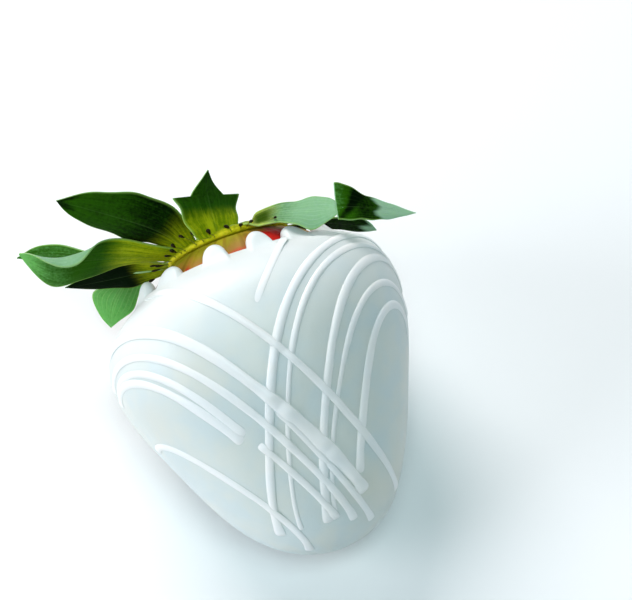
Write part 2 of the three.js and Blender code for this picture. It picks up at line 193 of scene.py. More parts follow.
def along(values, at):
    """Reads a short list of values as a smooth curve, at 0 its first and at 1 its last."""
    values = np.asarray(values, float)
    place = np.clip(at, 0, 1) * (len(values) - 1)
    step = np.minimum(np.floor(place).astype(int), len(values) - 2)
    share = smoothstep(0, 1, place - step)
    return values[step] * (1 - share) + values[step + 1] * share


def unit(v):
    v = np.asarray(v, float)
    return v / np.maximum(np.linalg.norm(v, axis=-1, keepdims=True), 1e-12)


def run_along(line):
    """How far along a line of points each of them is."""
    return np.concatenate([[0], np.cumsum(np.linalg.norm(np.diff(line, axis=0), axis=1))])


def turned_from(bearing, middle):
    """How far bearings are from one of them, round the nearer way."""
    return np.angle(np.exp(1j * (bearing - middle)))


def ripple(points, size, seed):
    """A smooth uneven value between about -1 and 1 at each point, with waves of one size."""
    rng = np.random.default_rng(seed)
    total = np.zeros(points.shape[:-1])
    for _ in range(6):
        wave = unit(rng.normal(size=3)) * 2 * math.pi / (size * rng.uniform(0.7, 1.5))
        total += np.sin(points @ wave + rng.uniform(0, 2 * math.pi))
    return total / 3


FRUIT_AXES = np.array([
    [1, 0, 0],
    [0, math.cos(PITCH), math.sin(PITCH)],
    [0, -math.sin(PITCH), math.cos(PITCH)],
])
CORE = np.array([0, CORE_Y, CORE_Z])


def to_part(points):
    return (np.asarray(points, float) @ FRUIT_AXES + CORE) / 1000


def mesh_object(name, points, faces, materials, uv=None, face_slots=None, layers=None):
    """A smooth mesh in the part's frame. points are in the fruit's frame; uv is per point."""
    mesh = bpy.data.meshes.new(name)
    faces = np.asarray(faces, np.int32)
    corners = faces.shape[1]
    mesh.vertices.add(len(points))
    mesh.vertices.foreach_set("co", to_part(points).astype(np.float32).ravel())
    mesh.loops.add(faces.size)
    mesh.loops.foreach_set("vertex_index", faces.ravel())
    mesh.polygons.add(len(faces))
    mesh.polygons.foreach_set("loop_start", np.arange(0, faces.size, corners, dtype=np.int32))
    mesh.polygons.foreach_set("loop_total", np.full(len(faces), corners, np.int32))
    mesh.polygons.foreach_set("use_smooth", np.ones(len(faces), bool))
    for material in materials:
        mesh.materials.append(material)
    if face_slots is not None:
        mesh.polygons.foreach_set("material_index", np.asarray(face_slots, np.int32))
    mesh.update(calc_edges=True)
    if uv is not None:
        layer = mesh.uv_layers.new(name="UVMap")
        layer.data.foreach_set("uv", np.asarray(uv, np.float32)[faces.ravel()].ravel())
    for key, values in (layers or {}).items():
        attribute = mesh.attributes.new(key, "FLOAT", "POINT")
        attribute.data.foreach_set("value", np.asarray(values, np.float32).ravel())
    mesh.validate()
    piece = bpy.data.objects.new(name, mesh)
    bpy.context.collection.objects.link(piece)
    return piece


def grid_faces(rows, columns, wrap, start=0):
    """Quads of a grid of points stored row by row; wrap joins the last column to the first."""
    across = np.arange(columns if wrap else columns - 1)
    row, column = np.meshgrid(np.arange(rows - 1) * columns, across, indexing="ij")
    after = (column + 1) % columns
    next_row = row + columns
    quads = np.stack([row + column, row + after, next_row + after, next_row + column], -1)
    return quads.reshape(-1, 4) + start


def closed_by_rings(rings, first, last):
    """Points and triangles of a stack of rings, closed at both ends by a fan to a point."""
    rows, columns = rings.shape[:2]
    points = np.vstack([rings.reshape(-1, 3), first, last])
    quads = grid_faces(rows, columns, True)
    c = np.arange(columns)
    after = (c + 1) % columns
    end = (rows - 1) * columns
    first_at, last_at = rows * columns, rows * columns + 1
    low = np.stack([after, c, np.full(columns, first_at)], -1)
    high = np.stack([end + c, end + after, np.full(columns, last_at)], -1)
    return points, np.vstack([quads[:, [0, 1, 2]], quads[:, [0, 2, 3]], low, high])


def ring_object(name, rings, first, last, materials, layers=None):
    """A closed mesh from a stack of rings and the points that close its ends."""
    points, triangles = closed_by_rings(rings, first, last)
    return mesh_object(name, points, triangles, materials, layers=layers)


# ---- The dipped surface ----------------------------------------------------------------


def half_width(turn):
    return sum(size * np.sin((k + 1) * turn) for k, size in enumerate(GIRTH))


def lean_at(height):
    return SHOULDER_LEAN * np.clip((height - SHOULDER_START) / SHOULDER_REACH, 0, 1) ** 2


def bend_at(height):
    return TIP_BEND * np.clip(1 - height / TIP_BEND_REACH, 0, 1) ** 2


def skin_points(turn, bearing):
    height = LENGTH * (1 - np.cos(turn)) / 2
    c, s = np.cos(bearing), np.sin(bearing)
    roundness = (np.abs(c) ** SQUARENESS + np.abs(s) ** SQUARENESS) ** (-1 / SQUARENESS)
    reach = half_width(turn) * roundness
    x = reach * c
    lean = lean_at(height) * (x / SHOULDER_WIDTH) ** 3
    return np.stack([x + bend_at(height), TIP_Y + height + lean, reach * s * FLATNESS], -1)


def skin_frames(turn, bearing):
    """Points of the dipped surface with their outward normals and directions to the crown."""
    nudge = 1e-3
    up = skin_points(turn + nudge, bearing) - skin_points(turn - nudge, bearing)
    round_ = skin_points(turn, bearing + nudge) - skin_points(turn, bearing - nudge)
    return skin_points(turn, bearing), unit(np.cross(up, round_)), unit(up)


def outside(points):
    """How far points are outside the dipped surface, across the core; negative inside."""
    x, y, z = points[..., 0], points[..., 1], points[..., 2]
    height = y - TIP_Y - lean_at(y - TIP_Y) * (x / SHOULDER_WIDTH) ** 3
    turn = np.arccos(np.clip(1 - 2 * height / LENGTH, -1, 1))
    wide = np.abs(x - bend_at(height)) ** SQUARENESS + np.abs(z / FLATNESS) ** SQUARENESS
    return wide ** (1 / SQUARENESS) - half_width(turn)


def outward(points):
    """Normals of the dipped surface at points on it."""
    steps = 0.02 * np.eye(3)
    return unit(np.stack([outside(points + step) - outside(points - step) for step in steps], -1))


def unevenness(points):
    """How far the set chocolate stands off the dipped surface: slow swells and thin spots."""
    return 0.08 * ripple(points, 16, 3) + 0.02 * ripple(points, 5, 4) - 0.08


def even_turns(count, last):
    """Turns from near the tip to last, at even steps along the profile."""
    turn = np.linspace(0, last, 2000)
    run = run_along(skin_points(turn, np.zeros_like(turn)))
    return np.interp(np.linspace(run[-1] / count, run[-1], count), run, turn)


# ---- White chocolate shell with its drizzle ---------------------------------------------


def lobe_bearings():
    return LOBE_START + np.arange(LOBES) * 2 * math.pi / LOBES + LOBE_SHIFTS


def scallop(bearing):
    """How far the rim swells at a bearing, 1 on a lobe and 0 between, and the lobe's height."""
    swell = np.zeros_like(bearing)
    for k, middle in enumerate(lobe_bearings()):
        size = 1 + 0.12 * math.sin(k * 2.4)
        off = turned_from(bearing, middle) / (LOBE_HALF_WIDTH * size)
        swell = np.maximum(swell, size * np.sqrt(np.clip(1 - off**2, 0, None)))
    nearest = np.round((bearing - LOBE_START) / (2 * math.pi / LOBES)).astype(int) % LOBES
    return swell, PEARL_HEIGHTS[nearest]


def make_coat(material):
    rows, columns = ((220, 440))
    bearing = np.linspace(0, 2 * math.pi, columns, endpoint=False)[None, :]
    swell, pearl_height = scallop(bearing)
    edge_turn = RIM_TURN + RIM_BETWEEN + RIM_ON_LOBE * swell
    share = (even_turns(rows, RIM_TURN) / RIM_TURN)[:, None]
    turn = share * edge_turn
    skin, normal, to_crown = skin_frames(turn, np.broadcast_to(bearing, turn.shape))
    thinning = RIM_THINNING * smoothstep(THINNING_START, THINNING_END, turn)
    pearls = pearl_height * swell * bell(turn, edge_turn, PEARL_SPREAD)
    outer = skin + normal * (unevenness(skin) - thinning + pearls)[..., None]

    # The rim's lip rolls over and runs down inside, against the fruit.
    lip_rows = 10
    alpha = np.linspace(0, math.pi, lip_rows + 1)[1:, None, None]
    thickness = (SHELL + GAP - RIM_THINNING + 0.65 * swell[0])[None, :, None]
    last, last_normal, last_up = outer[-1][None], normal[-1][None], to_crown[-1][None]
    middle = last - last_normal * thickness / 2
    lip = middle + thickness / 2 * (np.cos(alpha) * last_normal + np.sin(alpha) * last_up)
    inner_rows = 40
    inner_share = np.linspace(1, 0, inner_rows + 1)[1:-1, None]
    inner_turn = inner_share * (edge_turn - math.radians(1))
    inner_bearing = np.broadcast_to(bearing, inner_turn.shape)
    inner_skin, inner_normal, _ = skin_frames(inner_turn, inner_bearing)
    inner = inner_skin - inner_normal * (SHELL + GAP * 1.2)

    rings = np.concatenate([outer, lip, inner])
    tip = skin_points(np.array(0.0), np.array(0.0))
    inside_tip = tip + [0, SHELL + GAP, 0]
    points, triangles = closed_by_rings(rings, tip, inside_tip)
    piece = mesh_object("coat_look", above_table(points), triangles[:, ::-1], [material])
    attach(piece, "root")
    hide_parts("coat")


def above_table(points):
    """Points of the fruit's frame, with those below the table brought up onto it."""
    part = points @ FRUIT_AXES + CORE
    part[:, 2] = np.maximum(part[:, 2], 0)
    return (part - CORE) @ FRUIT_AXES.T


# ---- Drizzle ---------------------------------------------------------------------------


def plane_axes(direction):
    """The normal of a strand's plane, and the directions in it at 0 and 90 degrees."""
    axis = unit(direction)
    up = unit(np.array([0, 0, 1]) - axis[2] * axis)
    return axis, up, np.cross(axis, up)


def strand_route(strand):
    """Points along one strand, at even steps, where rays in its plane leave the surface."""
    direction, distance, start, stop, _ = strand
    axis, up, side = plane_axes(direction)
    rays = 500
    angle = np.radians(np.linspace(start, stop, rays))[:, None]
    ray = up * np.cos(angle) + side * np.sin(angle)
    near, far = np.zeros((rays, 1)), np.full((rays, 1), LENGTH)
    for _ in range(30):
        half = (near + far) / 2
        inside = outside(axis * distance + ray * half)[:, None] < 0
        near, far = np.where(inside, half, near), np.where(inside, far, half)
    points = axis * distance + ray * near
    run = run_along(points)
    step = 0.25
    even = np.linspace(0, run[-1], max(20, round(run[-1] / step)))
    return np.stack([np.interp(even, run, points[:, k]) for k in range(3)], -1), even


def over_strands(points, strands):
    """How much higher a strand runs at each point, where it crosses those piped before."""
    rise = np.zeros(len(points))
    for direction, distance, start, stop, radius in strands:
        axis, up, side = plane_axes(direction)
        offset = points - axis * distance
        turn = np.degrees(np.arctan2(offset @ side, offset @ up))
        covered = smoothstep(start, start + 3, turn) * (1 - smoothstep(stop - 3, stop, turn))
        rise = np.maximum(rise, covered * bell(offset @ axis, 0, 1.3 * radius))
    return rise


def make_strand(k, strand, before, material):
    """A strand of drizzle as a low rounded ribbon that sinks a little into the shell."""
    radius = strand[4]
    points, run = strand_route(strand)
    rng = np.random.default_rng(40 + k)
    shift = rng.uniform(0, 6.3, 4)
    normal = outward(points)
    ahead = unit(np.gradient(points, axis=0))
    across = unit(np.cross(ahead, normal))
    left = run[-1] - run
    to_end = np.minimum(run, left)
    near_end = 1 - np.clip(to_end / (1.2 * radius), 0, 1)
    rounding = np.sqrt(np.clip(1 - near_end**2, 0.003, None))
    share = np.interp(run, *WIDTHS.get(k, USUAL_WIDTH))
    swelling = 1 + 0.06 * np.sin(run * 0.21 + shift[0]) + 0.04 * np.sin(run * 0.63 + shift[1])
    width = radius * share * swelling * rounding * (1 + 0.2 * bell(to_end, 1.2, 1.0))
    start_fade, end_fade = FADES.get(k, USUAL_FADE)
    body = smoothstep(-0.1 * start_fade, start_fade, run) * smoothstep(-0.1 * end_fade, end_fade, left)
    relief = RELIEFS.get(k, USUAL_RELIEF)
    unevenly = 1 + 0.12 * np.sin(run * 0.33 + shift[2])
    height = relief * radius * np.minimum(share, 1) * unevenly * rounding * body
    crossing = CROSSING_RISE * over_strands(points, before) * radius
    wander = 0.07 * np.sin(run * 0.24 + shift[3])
    sunk = unevenness(points) + crossing - 0.42 * relief * (1 - body)
    middle = points + across * wander[:, None] + normal * sunk[:, None]
    phi = np.linspace(0, math.pi, 15)
    over = np.stack([np.cos(phi), np.sin(phi) ** 1.5], -1)
    rings = middle[:, None] + (
        across[:, None] * (width[:, None] * over[:, 0])[..., None]
        + normal[:, None] * (height[:, None] * over[:, 1])[..., None])
    depth = normal * (FOOT_DEPTH * rounding + crossing)[:, None]
    foot = [middle + across * (side * width)[:, None] - depth for side in (-0.8, 0, 0.8)]
    rings = np.concatenate([rings, np.stack(foot, 1)], 1)
    # Along its edges and where it flattens out, a strand has the colour of the shell.
    on_top = over[:, 1] * body[:, None]
    cover = np.concatenate([on_top, np.zeros((len(run), len(foot)))], 1)
    layers = {"cover": np.concatenate([cover.ravel(), [0, 0]])}
    piece = ring_object(f"strand_{k}", rings, middle[0], middle[-1], [material], layers)
    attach(piece, "root")
    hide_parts("coat")


def make_drizzle(material):
    for k, strand in enumerate(DRIZZLE):
        before = DRIZZLE[:DOWN_STRANDS] if k >= DOWN_STRANDS else []
        make_strand(k, strand, before, material)


# ---- Fruit ---------------------------------------------------------------------------


def circle(radius, height, bearing):
    x = RING_X + radius * np.cos(bearing)
    return np.stack([x, np.full_like(bearing, height), radius * np.sin(bearing)], -1)


def make_berry(material):
    columns, rows, neck_rows = 200, 90, 26
    bearing = np.linspace(0, 2 * math.pi, columns, endpoint=False)
    turn = even_turns(rows, RIM_TURN)[:, None]
    skin, normal, _ = skin_frames(*np.broadcast_arrays(turn, bearing[None]))
    body = skin - normal * (SHELL + GAP)
    crown = circle(NECK_RADIUS, NECK_TOP, bearing)
    share = np.linspace(0, 1, neck_rows + 1)[1:, None, None]
    neck = body[-1][None] * (1 - share) + crown[None] * share
    bulge = np.sin(math.pi * share) * (0.25 + 0.22 * np.sin(9 * bearing + 1)[None, :, None] ** 2)
    fibre = around(bearing, 60, 21)
    outwards = unit(neck - np.array([RING_X, 12.0, 0]))
    neck = neck + outwards * (bulge + 0.05 * np.sin(math.pi * share) * fibre[None, :, None])
    rings = np.concatenate([body, neck])
    tip = skin_points(np.array(0.0), np.array(0.0)) + [0, SHELL + GAP, 0]
    top = np.array([RING_X, NECK_TOP, 0])
    ripe = bell(turned_from(bearing, RIPE_SIDE), 0, 0.36)
    layers = {key: np.concatenate([np.tile(value, rows + neck_rows), [0, 0]])
              for key, value in (("fibre", fibre), ("ripe", ripe))}
    piece = ring_object("berry_look", rings, tip, top, [material], layers)
    piece.data.flip_normals()
    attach(piece, "root")
    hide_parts("berry")


def around(bearing, waves, seed):
    """A smooth uneven value round the core, between about -1 and 1, with up to so many waves."""
    rng = np.random.default_rng(seed)
    counts = rng.integers(waves // 3, waves, 8)
    return sum(np.sin(count * bearing + rng.uniform(0, 2 * math.pi)) for count in counts) / 4


# ---- Calyx ---------------------------------------------------------------------------


def sepal_edge(sepal, at, side):
    """Half-width over the greatest half-width, on one side of the midrib."""
    base, peak = sepal["base"], sepal["peak"]
    if "step" in sepal:
        tooth_at, notch = sepal["step"]["at"], sepal["step"]["notch"]
        below = base + (1 - base) * (np.clip(at, 0, tooth_at) / tooth_at) ** 0.8
        above = notch * (1 - (at - tooth_at) / (1 - tooth_at))
        return np.where(at < tooth_at, below, above)
    rising = base + (1 - base) * np.sin(math.pi / 2 * np.clip(at / peak, 0, 1))
    falling = 1 - (np.clip(at - peak, 0, 1) / (1 - peak)) ** sepal.get("blunt", 1.8)
    edge = np.where(at < peak, rising, falling)
    if "flap" in sepal:
        flap = sepal["flap"]
        size = np.where(side * flap["side"] > 0, flap["size"], 0)
        edge = edge + size * bell(at, flap["at"], flap["spread"])
    return edge


def sepal_sheet(sepal, rows, columns, seed):
    """The middle surface of a sepal: its points, the place of each across it, from -1 to 1,
    and along it, from 0 to 1, and the half-width there."""
    at = np.linspace(0, 1, rows)
    if "step" in sepal:
        tooth = int(np.argmin(np.abs(at - sepal["step"]["at"])))
        at[tooth] = sepal["step"]["at"] - 0.004
        at[tooth + 1] = sepal["step"]["at"] + 0.004
    bearing = math.radians(sepal["bearing"])
    heading = bearing + np.radians(along(sepal["sweep"], at))
    lift = np.radians(along(sepal["lift"], at))
    easing = 1 if "root" in sepal else smoothstep(0, SEPAL_ROOT, at)
    roll = np.radians(along(sepal["roll"], at)) * easing
    level_share = np.cos(lift)
    ahead = np.stack(
        [level_share * np.cos(heading), np.sin(lift), level_share * np.sin(heading)], -1)
    on_ring = (RING_X + RING_RADIUS * math.cos(bearing), RING_Y, RING_RADIUS * math.sin(bearing))
    root = np.array(sepal.get("root", on_ring))
    steps = (ahead[1:] + ahead[:-1]) / 2 * (np.diff(at) * sepal["length"])[:, None]
    midrib = root + np.vstack([np.zeros(3), np.cumsum(steps, 0)])
    level = np.stack([-np.sin(heading), 0 * heading, np.cos(heading)], -1)
    over = np.cross(level, ahead)
    across = level * np.cos(roll)[:, None] + over * np.sin(roll)[:, None]
    normal = np.cross(across, ahead)

    v = np.linspace(-1, 1, columns)[None, :]
    side = np.where(v >= 0, 1, -1)
    half = np.maximum(sepal_edge(sepal, at[:, None], side) * sepal["width"] / 2, 0.03)
    rng = np.random.default_rng(seed)
    frill = 1 + 0.04 * np.sin(at[:, None] * rng.uniform(18, 26) + side * 2 + rng.uniform(0, 6))
    half = half * (frill if "step" not in sepal else 1)
    arc = along(sepal["cup"], at)[:, None] + 0 * v
    if "hem" in sepal:
        hem = sepal["hem"]
        arc = arc + (side == hem["side"]) * hem["curl"] * bell(at, hem["at"], hem["spread"])[:, None]
    arc = np.where(np.abs(arc) < 1e-3, 1e-3, arc)
    out = side * half * np.sin(arc * np.abs(v)) / arc
    rise = half * (1 - np.cos(arc * np.abs(v))) / arc
    wave = 0.22 * np.sin(at[:, None] * rng.uniform(9, 14) + side * 1.3 + rng.uniform(0, 6))
    rise = rise + wave * np.abs(v) ** 2 * smoothstep(0.1, 0.4, at)[:, None] * half / 3.5
    points = midrib[:, None] + across[:, None] * out[..., None] + normal[:, None] * rise[..., None]
    v, at = np.broadcast_arrays(v, at[:, None])
    return points, v, at, half


def sheet_normals(points):
    down = np.gradient(points, axis=0)
    over = np.gradient(points, axis=1)
    return unit(np.cross(over, down))


def make_sepal(k, sepal, dark, pale):
    rows, columns = 81, 37
    points, v, at, half = sepal_sheet(sepal, rows, columns, 70 + k)
    normal = sheet_normals(points)
    # Veins run from the root to the tip, sunk on the side towards the fruit.
    midrib = bell(v * half, 0, 0.22)
    veins = sum(bell(np.abs(v), place, 0.05) for place in VEIN_PLACES) * smoothstep(0, 0.15, at)
    relief = 0.16 * midrib * (1 - at) + 0.05 * veins * (1 - at**2)
    thick = TIP_THICK + ROOT_THICKER * (1 - at) - MARGIN_THINNER * np.abs(v) ** 4
    upper = points + normal * (thick / 2 + relief)[..., None]
    lower = points - normal * (thick / 2 - 0.6 * relief)[..., None]
    count = rows * columns
    uv_face = np.stack([(v + 1) / 2, at], -1).reshape(-1, 2)
    all_points = np.vstack([upper.reshape(-1, 3), lower.reshape(-1, 3)])
    uv = np.vstack([uv_face, uv_face])
    top = grid_faces(rows, columns, False)
    bottom = grid_faces(rows, columns, False, count)[:, ::-1]
    edge = np.concatenate([
        np.arange(columns),
        np.arange(1, rows) * columns + columns - 1,
        (rows - 1) * columns + np.arange(columns - 2, -1, -1),
        np.arange(rows - 2, 0, -1) * columns,
    ])
    after = np.roll(edge, -1)
    rim = np.stack([after, edge, edge + count, after + count], -1)
    faces = np.vstack([top, bottom, rim])
    # The first material is on the side away from the fruit.
    slots = np.concatenate([np.zeros(len(top)), np.ones(len(bottom)), np.zeros(len(rim))])
    tones, reach, dry, dry_from, veined = SEPAL_TONES[k]
    # Painted shade: a dark line across the sepal with its own root, where its flap folds over.
    painted_fold_shade = bell(at - 0.16 - 0.14 * v, 0, 0.055) if "root" in sepal else 0 * at
    uneven_at = at + 0.04 * np.sin(5 * v + k) + 0.006 * np.sin(17 * v)
    at_tip = smoothstep(dry_from - 0.04, min(dry_from + 0.06, 1), uneven_at)
    near_root = smoothstep(0.02, 0.14, at) * (1 - smoothstep(0.2, 0.36, at))
    off_margins = 1 - bell(np.abs(v), 1, 0.3)
    layers = {
        "tone": along(tones, at) * (1 - 0.8 * max(dry, 0) * at_tip) - 0.5 * painted_fold_shade,
        "yellow": 1 - smoothstep(reach - 0.3, reach + 0.36, at) if reach else 0 * at,
        "pale": max(-dry, 0) * at_tip,
        "hump": near_root * off_margins * (k == HUMP),
        "veined": np.full(at.shape, veined),
        "seed": np.full(at.shape, 1.7 * k),
    }
    layers = {key: np.tile(value.ravel(), 2) for key, value in layers.items()}
    piece = mesh_object(f"sepal_{k}", all_points, faces, [pale, dark], uv, slots, layers)
    piece.data.flip_normals()
    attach(piece, "root")
    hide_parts("calyx")


def root_lift(bearing):
    """How steeply the sepals near a bearing leave the ring, in degrees."""
    lifts = [(sepal["bearing"], sepal["lift"][0]) for sepal in SEPALS if "root" not in sepal]
    angles, values = zip(*sorted(lifts))
    return np.interp(math.degrees(bearing) % 360, angles, np.minimum(values, 50), period=360)


def make_stamens(filament, anther):
    """Dried stamens that spring from under the hub's rim and lie back against the sepals."""
    rng = np.random.default_rng(11)
    threads, heads = [], []
    phi = np.linspace(0, 2 * math.pi, 8, endpoint=False)
    for k in range(STAMENS):
        bearing = 2 * math.pi * (k + rng.uniform(-0.35, 0.35)) / STAMENS
        lift = math.radians(root_lift(bearing) - rng.uniform(9, 20))
        out = np.array([math.cos(bearing), 0, math.sin(bearing)])
        ahead = unit(out * math.cos(lift) + np.array([0, 1, 0]) * math.sin(lift))
        side = np.cross(ahead, unit(np.cross(out, [0, 1, 0])))
        across = np.cross(ahead, side)
        start = np.array([RING_X, HUB["rim"] - 0.25, 0]) + out * (HUB["radius"] - 0.1)
        reach = rng.uniform(0.6, 3.0)
        sway = rng.uniform(-0.35, 0.35)
        run = np.linspace(0, 1, 9)[:, None]
        sag = side * 0.12 * np.sin(math.pi * run)
        line = start + ahead * reach * run + across * sway * run**2 - sag
        ring = side * np.cos(phi)[:, None] + across * np.sin(phi)[:, None]
        thread = line[:, None] + THREAD_RADIUS * (1 - 0.3 * run)[..., None] * ring
        threads.append((thread, line[0], line[-1]))
        length, radius = rng.uniform(0.45, 0.75), rng.uniform(0.2, 0.3)
        lean = unit(ahead + across * rng.uniform(-0.5, 0.5))
        place = np.cos(np.linspace(math.pi, 0, 11))[1:-1, None]
        thick = radius * np.sqrt(1 - place**2) * (1 + 0.25 * np.sin(2.5 * place))
        spine = line[-1] + lean * length * (place + 0.8)
        ring = ANTHER_FLATNESS * side * np.cos(phi)[:, None] + across * np.sin(phi)[:, None]
        head = spine[:, None] + thick[..., None] * ring
        heads.append((head, spine[0] - 0.05 * lean, spine[-1] + 0.05 * lean))
    for name, rows, material in (("filaments", threads, filament), ("anthers", heads, anther)):
        points, triangles, start = [], [], 0
        for rings, first, last in rows:
            own_points, own_triangles = closed_by_rings(rings, first, last)
            points.append(own_points)
            triangles.append(own_triangles + start)
            start += len(own_points)
        piece = mesh_object(name, np.vstack(points), np.vstack(triangles), [material])
        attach(piece, "root")
        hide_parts("calyx")


def make_hub(material):
    bearing = np.linspace(0, 2 * math.pi, 360, endpoint=False)
    r, under, rim, dome = HUB["radius"], HUB["under"], HUB["rim"], HUB["dome"]
    stalk, stalk_top = HUB["stalk"], HUB["stalk_top"]
    # Radius and height, from below outwards, over the rim and up to the cut end of the stalk.
    stations = np.array([
        (r * 0.5, under), (r - 0.6, under), (r - 0.15, under + 0.12), (r, rim),
        (r - 0.2, rim + 0.3), (r - 0.8, rim + 0.55), (r * 0.75, dome - 0.35),
        (r * 0.55, dome), (r * 0.38, dome + 0.3), (stalk * 1.5, dome + 0.75),
        (stalk * 1.15, dome + 1.3), (stalk, dome + 2), (stalk * 0.96, stalk_top - 1),
        (stalk, stalk_top - 0.25), (stalk * 0.85, stalk_top), (stalk * 0.3, stalk_top - 0.15),
    ])
    run = run_along(stations)
    fine = np.linspace(0, run[-1], 70)
    radius = np.interp(fine, run, stations[:, 0])
    height = np.interp(fine, run, stations[:, 1])
    ribbed = smoothstep(2.5, 5, radius) * (1 - smoothstep(6.5, 8.3, radius))
    ribbed = ribbed * smoothstep(rim, rim + 0.4, height)
    ribs = RIB_HEIGHT * np.sin(RIBS * bearing) * ribbed[:, None]
    # The rim is uneven where the sepals' roots grow together.
    at_rim = smoothstep(r - 0.9, r - 0.1, radius)[:, None]
    out_and_in = 0.05 * around(bearing, 80, 22) + 0.06 * around(bearing, 24, 23)
    reach = radius[:, None] + at_rim * out_and_in
    rings = np.stack([
        RING_X + reach * np.cos(bearing),
        height[:, None] + ribs + 0.05 * at_rim * around(bearing, 60, 24),
        reach * np.sin(bearing),
    ], -1)
    bottom = np.array([RING_X, under, 0])
    top = np.array([RING_X, stalk_top - 0.2, 0])
    piece = ring_object("hub", rings, bottom, top, [material])
    piece.data.flip_normals()
    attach(piece, "root")
    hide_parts("calyx")


# ---- Materials ------------------------------------------------------------------------


def srgb(r, g, b):
    """A colour given as on screen, 0 to 255, as the linear values that shaders take."""
    shares = (r / 255, g / 255, b / 255)
    linear = [c / 12.92 if c <= 0.04045 else ((c + 0.055) / 1.055) ** 2.4 for c in shares]
    return (*linear, 1)


class Shader:
    """A material's node tree, built up one node at a time."""

    def __init__(self, name, **sockets):
        self.material = bpy.data.materials.new(name)
        self.material.use_nodes = True
        self.tree = self.material.node_tree
        self.surface = self.tree.nodes["Principled BSDF"]
        for socket, value in sockets.items():
            self.surface.inputs[socket.replace("_", " ")].default_value = value

    def node(self, kind, inputs=None, **settings):
        node = self.tree.nodes.new(kind)
        for key, value in settings.items():
            setattr(node, key, value)
        for key, value in (inputs or {}).items():
            if isinstance(value, bpy.types.NodeSocket):
                self.tree.links.new(value, node.inputs[key])
            else:
                node.inputs[key].default_value = value
        return node

    def into(self, socket, output):
        self.tree.links.new(output, self.surface.inputs[socket])

    def place(self):
        return self.node("ShaderNodeTexCoord").outputs["Object"]

    def noise(self, scale, detail=3.0, rough=0.55):
        return self.node("ShaderNodeTexNoise", {
            "Vector": self.place(), "Scale": scale, "Detail": detail, "Roughness": rough}).outputs["Fac"]

    def math(self, operation, a, b=0.0):
        return self.node("ShaderNodeMath", {0: a, 1: b}, operation=operation).outputs[0]

    def spread(self, value, low, high, to_low=0.0, to_high=1.0):
        return self.node("ShaderNodeMapRange", {
            "Value": value, "From Min": low, "From Max": high, "To Min": to_low, "To Max": to_high,
        }, interpolation_type="SMOOTHSTEP").outputs[0]

    def mix(self, share, a, b):
        """A colour between a and b. Sockets 6, 7 and 2 are the colour ones of this node."""
        return self.node("ShaderNodeMix", {0: share, 6: a, 7: b}, data_type="RGBA").outputs[2]

    def attribute(self, name):
        return self.node("ShaderNodeAttribute", attribute_name=name).outputs["Fac"]

    def bump(self, height, strength, distance):
        node = self.node("ShaderNodeBump", {"Height": height, "Strength": strength, "Distance": distance})
        self.into("Normal", node.outputs[0])

    def core_height(self):
        """Millimetres along the core, from the fruit's origin to the stalk."""
        axis = FRUIT_AXES[1]
        inputs = {0: self.place(), 1: tuple(axis * 1000)}
        dot = self.node("ShaderNodeVectorMath", inputs, operation="DOT_PRODUCT")
        return self.math("SUBTRACT", dot.outputs["Value"], float(CORE @ axis))


def chocolate_shader(name):
    sh = Shader(name, Roughness=0.45, IOR=1.45, Subsurface_Weight=0.2, Subsurface_Scale=0.001)
    sh.surface.inputs["Subsurface Radius"].default_value = (1.0, 0.95, 0.85)
    sh.surface.inputs["Coat Weight"].default_value = 0.08
    sh.surface.inputs["Coat Roughness"].default_value = 0.25
    sh.into("Roughness", sh.spread(sh.noise(420, 4), 0.3, 0.7, 0.4, 0.5))
    sh.bump(sh.noise(900, 4), 0.1, 0.0003)
    return sh


def shell_tone(sh):
    tone = sh.mix(sh.spread(sh.noise(170, 2), 0.35, 0.65), srgb(210, 223, 224), srgb(218, 225, 220))
    tone = sh.mix(sh.spread(sh.noise(60, 1), 0.55, 0.75, 0, 0.5), tone, srgb(222, 220, 206))
    # Towards the rim it is lighter: painted light, for the brighter light on the shoulders near the crown.
    return sh.mix(sh.spread(sh.core_height(), 2.0, 17.0), tone, srgb(224, 231, 230))


def shell_material():
    sh = chocolate_shader("shell_chocolate")
    sh.into("Base Color", shell_tone(sh))
    return sh.material


def drizzle_material():
    sh = chocolate_shader("drizzle_chocolate")
    tone = sh.mix(sh.spread(sh.noise(170, 2), 0.35, 0.65), srgb(242, 247, 248), srgb(246, 248, 246))
    cover = sh.spread(sh.attribute("cover"), 0.0, 0.45)
    sh.into("Base Color", sh.mix(cover, shell_tone(sh), tone))
    return sh.material


def flesh_material():
    sh = Shader(
        "strawberry_flesh", Roughness=0.5, IOR=1.42, Subsurface_Weight=0.15, Subsurface_Scale=0.0008)
    sh.surface.inputs["Specular IOR Level"].default_value = 0.2
    sh.surface.inputs["Subsurface Radius"].default_value = (1.0, 0.4, 0.15)
    height = sh.math("ADD", sh.core_height(), sh.spread(sh.noise(260), 0.3, 0.7, -0.45, 0.45))
    height = sh.math("ADD", height, sh.math("MULTIPLY", sh.attribute("fibre"), 0.5))
    height = sh.math("SUBTRACT", height, sh.math("MULTIPLY", sh.attribute("ripe"), 2.5))
    low = sh.mix(sh.spread(height, 16.9, 17.7), srgb(186, 26, 14), srgb(190, 82, 40))
    mid = sh.mix(sh.spread(height, 17.4, 18.3), low, srgb(158, 120, 44))
    high = sh.mix(sh.spread(height, 18.4, 19.9), mid, srgb(148, 142, 24))
    streaks = sh.math("MULTIPLY", sh.spread(sh.attribute("fibre"), 0.1, 0.9), sh.spread(height, 16.5, 18.5))
    colour = sh.mix(sh.math("MULTIPLY", streaks, 0.6), high, srgb(122, 84, 16))
    sh.into("Base Color", colour)
    sh.bump(sh.noise(700, 3), 0.25, 0.0004)
    return sh.material


